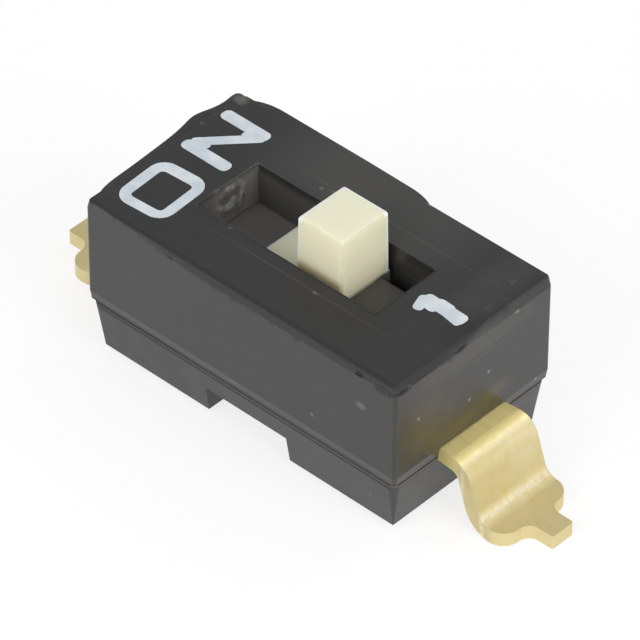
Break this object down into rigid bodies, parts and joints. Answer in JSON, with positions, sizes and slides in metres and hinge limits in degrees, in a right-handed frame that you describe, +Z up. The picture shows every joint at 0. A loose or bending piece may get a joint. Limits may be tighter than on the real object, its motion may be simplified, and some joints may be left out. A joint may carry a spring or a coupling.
{
  "type": "dip switch",
  "caption": "Surface-mount slide switch: a black box housing with a raised knob in a slot and a flat solder lead at each end.",
  "frame": {"origin": "middle of the footprint, on the board", "axes": "+X from the ON end to the numbered end, +Z up off the board, +Y from the knob's ledge side to its open side"},
  "size_m": [0.0108, 0.0036, 0.004],
  "materials": {
    "cover": "moulded black plastic, satin",
    "base": "moulded black plastic, satin",
    "actuator": "moulded ivory plastic, smooth",
    "contact": "gold-plated copper alloy strip",
    "terminal": "gold-plated copper alloy strip, satin",
    "print": "white printing ink, matt"
  },
  "bodies": {
    "housing": {"cover": "cover", "base": "base", "on_terminal": "terminal", "number_terminal": "terminal"},
    "slider": {"actuator": "actuator", "moving_contact": "contact"}
  },
  "joints": [
    {"name": "actuator_slide", "type": "slide", "parent": "housing", "child": "slider", "axis": [-1, 0, 0], "range_m": [0, 0.00111]}
  ]
}
